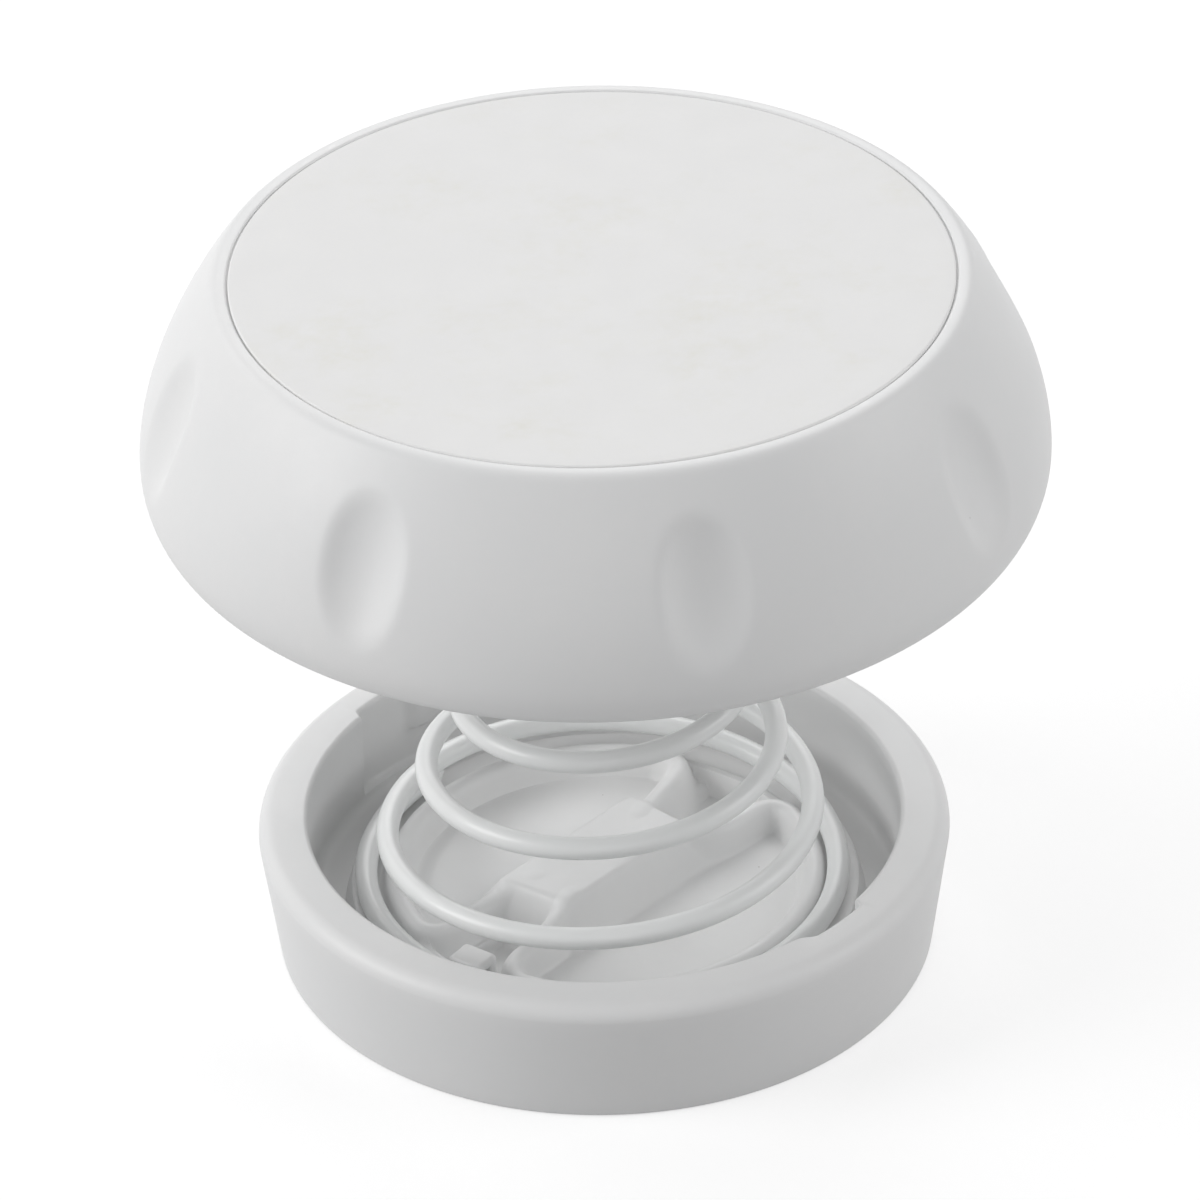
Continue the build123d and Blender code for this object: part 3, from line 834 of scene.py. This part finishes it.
def plated_steel():
    """Zinc-plated steel with fine turning marks."""
    f = Finish("plated_steel")
    tone = f.spread(f.noise(0.8, 4, 0.6), 0.3, 0.7, 0, 1)
    colour = f.mix_colour(tone, (0.54, 0.55, 0.57), (0.66, 0.66, 0.66))
    roughness = f.spread(f.noise(0.6, 4, 0.6), 0.3, 0.7, 0.29, 0.42)
    marks = f.bump(f.noise(0.15, 2, stretch=(0.2, 0.2, 1)), 0.008, 0.6)
    return f.finish(colour, roughness, marks, Metallic=1.0)


def paint(obj, material):
    """Gives the whole object one material."""
    obj.data.materials.clear()
    obj.data.materials.append(material)


# ------------------------------------------------------------------ floor, light and camera


def floor():
    """A plain pale floor, whose own colour brings the background to white."""
    half, level = FLOOR_HALF_SIDE, FLOOR_LEVEL * MM
    square = [(-half, -half, level), (half, -half, level), (half, half, level), (-half, half, level)]
    mesh = bpy.data.meshes.new("floor")
    mesh.from_pydata(square, [], [(0, 1, 2, 3)])
    obj = bpy.data.objects.new("floor", mesh)
    bpy.context.scene.collection.objects.link(obj)
    material = bpy.data.materials.new("floor")
    material.use_nodes = True
    tree = material.node_tree
    tree.nodes.clear()
    diffuse = tree.nodes.new("ShaderNodeBsdfDiffuse")
    diffuse.inputs["Color"].default_value = FLOOR_GREY
    glow = tree.nodes.new("ShaderNodeEmission")
    glow.inputs["Color"].default_value = WHITE_LIGHT
    tree.links.new(seen_directly(tree, FLOOR_GLOW), glow.inputs["Strength"])
    total = tree.nodes.new("ShaderNodeAddShader")
    out = tree.nodes.new("ShaderNodeOutputMaterial")
    tree.links.new(diffuse.outputs[0], total.inputs[0])
    tree.links.new(glow.outputs[0], total.inputs[1])
    tree.links.new(total.outputs[0], out.inputs["Surface"])
    mesh.materials.append(material)


def seen_directly(tree, share):
    """The share for camera, glossy and transmission rays, and 0 for all others."""
    path = tree.nodes.new("ShaderNodeLightPath")
    seen = path.outputs["Is Camera Ray"]
    for ray in ("Is Glossy Ray", "Is Transmission Ray"):
        either = tree.nodes.new("ShaderNodeMath")
        either.operation = "MAXIMUM"
        tree.links.new(seen, either.inputs[0])
        tree.links.new(path.outputs[ray], either.inputs[1])
        seen = either.outputs[0]
    scaled = tree.nodes.new("ShaderNodeMath")
    scaled.operation = "MULTIPLY"
    tree.links.new(seen, scaled.inputs[0])
    scaled.inputs[1].default_value = share
    return scaled.outputs[0]


def world():
    """Even studio light, with a white surround wherever it is seen."""
    made = bpy.data.worlds.new("studio")
    bpy.context.scene.world = made
    made.use_nodes = True
    tree = made.node_tree
    tree.nodes.clear()
    ambient = tree.nodes.new("ShaderNodeBackground")
    ambient.inputs["Color"].default_value = AMBIENT_COLOUR
    ambient.inputs["Strength"].default_value = AMBIENT_STRENGTH
    white = tree.nodes.new("ShaderNodeBackground")
    white.inputs["Color"].default_value = WHITE_LIGHT
    mix = tree.nodes.new("ShaderNodeMixShader")
    out = tree.nodes.new("ShaderNodeOutputWorld")
    tree.links.new(seen_directly(tree, 1.0), mix.inputs["Fac"])
    tree.links.new(ambient.outputs[0], mix.inputs[1])
    tree.links.new(white.outputs[0], mix.inputs[2])
    tree.links.new(mix.outputs[0], out.inputs["Surface"])


def softbox(name, position, size, power):
    """A round area light that faces the object."""
    light = bpy.data.lights.new(name, "AREA")
    light.shape = "DISK"
    light.size = size
    light.energy = power
    obj = bpy.data.objects.new(name, light)
    bpy.context.scene.collection.objects.link(obj)
    obj.location = position
    aim = Vector(LAMPS_AIM) - obj.location
    obj.rotation_mode = "QUATERNION"
    obj.rotation_quaternion = aim.to_track_quat("-Z", "Y")
    obj.visible_camera = False


def camera():
    """A long lens that looks down on the front of the object, rolled a little."""
    elevation, roll = math.radians(CAMERA_ELEVATION), math.radians(CAMERA_ROLL)
    back = Vector((0, -math.cos(elevation), math.sin(elevation)))
    level_right = Vector((1, 0, 0))
    level_up = back.cross(level_right)
    right = math.cos(roll) * level_right + math.sin(roll) * level_up
    up = math.cos(roll) * level_up - math.sin(roll) * level_right
    data = bpy.data.cameras.new("camera")
    data.lens = CAMERA_LENS
    data.sensor_width = 36
    data.clip_start = 0.01
    data.clip_end = 10
    obj = bpy.data.objects.new("camera", data)
    bpy.context.scene.collection.objects.link(obj)
    turn = Matrix((right, up, back)).transposed().to_4x4()
    place = (CAMERA_AIM_RIGHT * right + CAMERA_AIM_UP * up + CAMERA_DISTANCE * back) * MM
    obj.matrix_world = Matrix.Translation(place) @ turn
    bpy.context.scene.camera = obj


camera()
world()
floor()
for name, position, size, power in LAMPS:
    softbox(name, position, size, power)

# ------------------------------------------------------------------ assembly

WHITE = moulded_white()
INNER = inner_plastic()
STEEL = plated_steel()
FOAM = foam_adhesive()

cup = base_cup()
paint(cup, WHITE)
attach(cup, "base")
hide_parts("base_cup")

spring = conical_spring()
paint(spring, coated_wire())
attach(spring, "base")
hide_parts("conical_spring")
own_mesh(spring)

cap = cap_shell()
paint(cap, WHITE)
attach(cap, "cap")
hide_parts("cap_shell")

disc = strike_disc()
paint(disc, strike_elastomer())
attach(disc, "cap")
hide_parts("strike_disc")

CAD_FINISHES = {
    "mounting_pad": FOAM,
    "disc_adhesive": FOAM,
    "spring_collar": INNER,
    "latch_ring": INNER,
    "swivel_washer": STEEL,
    "shoulder_screw": STEEL,
    "latch_ring_screws": STEEL,
}
for node, finish in CAD_FINISHES.items():
    paint(frame["nodes"][node], finish)

bpy.context.scene.view_settings.view_transform = "Standard"
